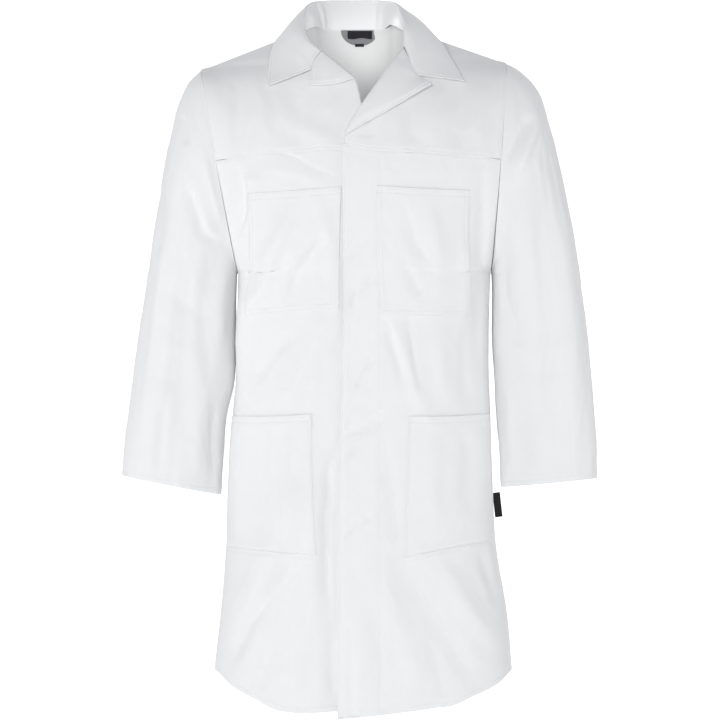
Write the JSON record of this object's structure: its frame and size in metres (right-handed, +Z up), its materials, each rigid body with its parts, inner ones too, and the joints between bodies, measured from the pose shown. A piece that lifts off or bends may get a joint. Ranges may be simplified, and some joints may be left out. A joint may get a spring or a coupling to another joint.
{
  "type": "laboratory coat",
  "caption": "White knee-length laboratory coat with notched collar, curved chest seams, concealed snap front, patch pockets on chest and skirt, and long plain sleeves.",
  "frame": {"origin": "middle of the back neck, level with the back neck seam and on the side seams' plane, where a hanger or a neck bears", "axes": "+X to the wearer's left, -Y to the front, +Z up"},
  "size_m": [0.7285, 0.2613, 1.0928],
  "materials": {
    "coat_cloth": "matte",
    "patch_cloth": "matte",
    "label_cloth": "matte",
    "snap_metal": "satin"
  },
  "bodies": {
    "torso": {"back_panel": "coat_cloth", "back_yoke": "coat_cloth", "front_yoke_left": "coat_cloth", "front_yoke_right": "coat_cloth", "lapel_left": "coat_cloth", "lapel_right": "coat_cloth", "collar_stand": "coat_cloth", "collar_leaf": "coat_cloth", "neck_patch": "patch_cloth", "neck_label": "label_cloth", "size_label": "label_cloth", "side_label": "label_cloth"},
    "front_left": {"front_panel_left": "coat_cloth", "front_facing_left": "coat_cloth", "chest_pocket_left": "coat_cloth", "lower_pocket_left": "coat_cloth", "snap_socket_1": "snap_metal", "snap_socket_2": "snap_metal", "snap_socket_3": "snap_metal", "snap_socket_4": "snap_metal", "snap_socket_5": "snap_metal"},
    "front_right": {"front_panel_right": "coat_cloth", "front_facing_right": "coat_cloth", "chest_pocket_right": "coat_cloth", "lower_pocket_right": "coat_cloth", "snap_stud_1": "snap_metal", "snap_stud_2": "snap_metal", "snap_stud_3": "snap_metal", "snap_stud_4": "snap_metal", "snap_stud_5": "snap_metal"},
    "arm_left": {"sleeve_upper_left": "coat_cloth"},
    "arm_right": {"sleeve_upper_right": "coat_cloth"},
    "forearm_left": {"sleeve_lower_left": "coat_cloth", "cuff_hem_left": "coat_cloth"},
    "forearm_right": {"sleeve_lower_right": "coat_cloth", "cuff_hem_right": "coat_cloth"}
  },
  "joints": [
    {"name": "front_left_open", "type": "hinge", "parent": "torso", "child": "front_left", "pos_m": [0.174, -0.08, -0.6], "axis": [0, 0, 1], "range_deg": [0, 35]},
    {"name": "front_right_open", "type": "hinge", "parent": "torso", "child": "front_right", "pos_m": [-0.166, -0.08, -0.6], "axis": [0, 0, 1], "range_deg": [-21, 0]},
    {"name": "arm_left_raise", "type": "hinge", "parent": "torso", "child": "arm_left", "pos_m": [0.22298, 0.003, -0.05082], "axis": [0, -1, 0], "range_deg": [0, 25]},
    {"name": "arm_right_raise", "type": "hinge", "parent": "torso", "child": "arm_right", "pos_m": [-0.24287, 0.003, -0.06153], "axis": [0, 1, 0], "range_deg": [0, 25]},
    {"name": "elbow_left_bend", "type": "hinge", "parent": "arm_left", "child": "forearm_left", "pos_m": [0.27271, -0.06499, -0.45298], "axis": [-0.9632, 0, -0.2689], "range_deg": [0, 45]},
    {"name": "elbow_right_bend", "type": "hinge", "parent": "arm_right", "child": "forearm_right", "pos_m": [-0.26191, -0.06499, -0.45897], "axis": [-0.9709, 0, 0.2395], "range_deg": [0, 45]}
  ],
  "couplings": [
    {"joint": "front_right_open", "follows": "front_left_open", "ratio": -0.6}
  ]
}
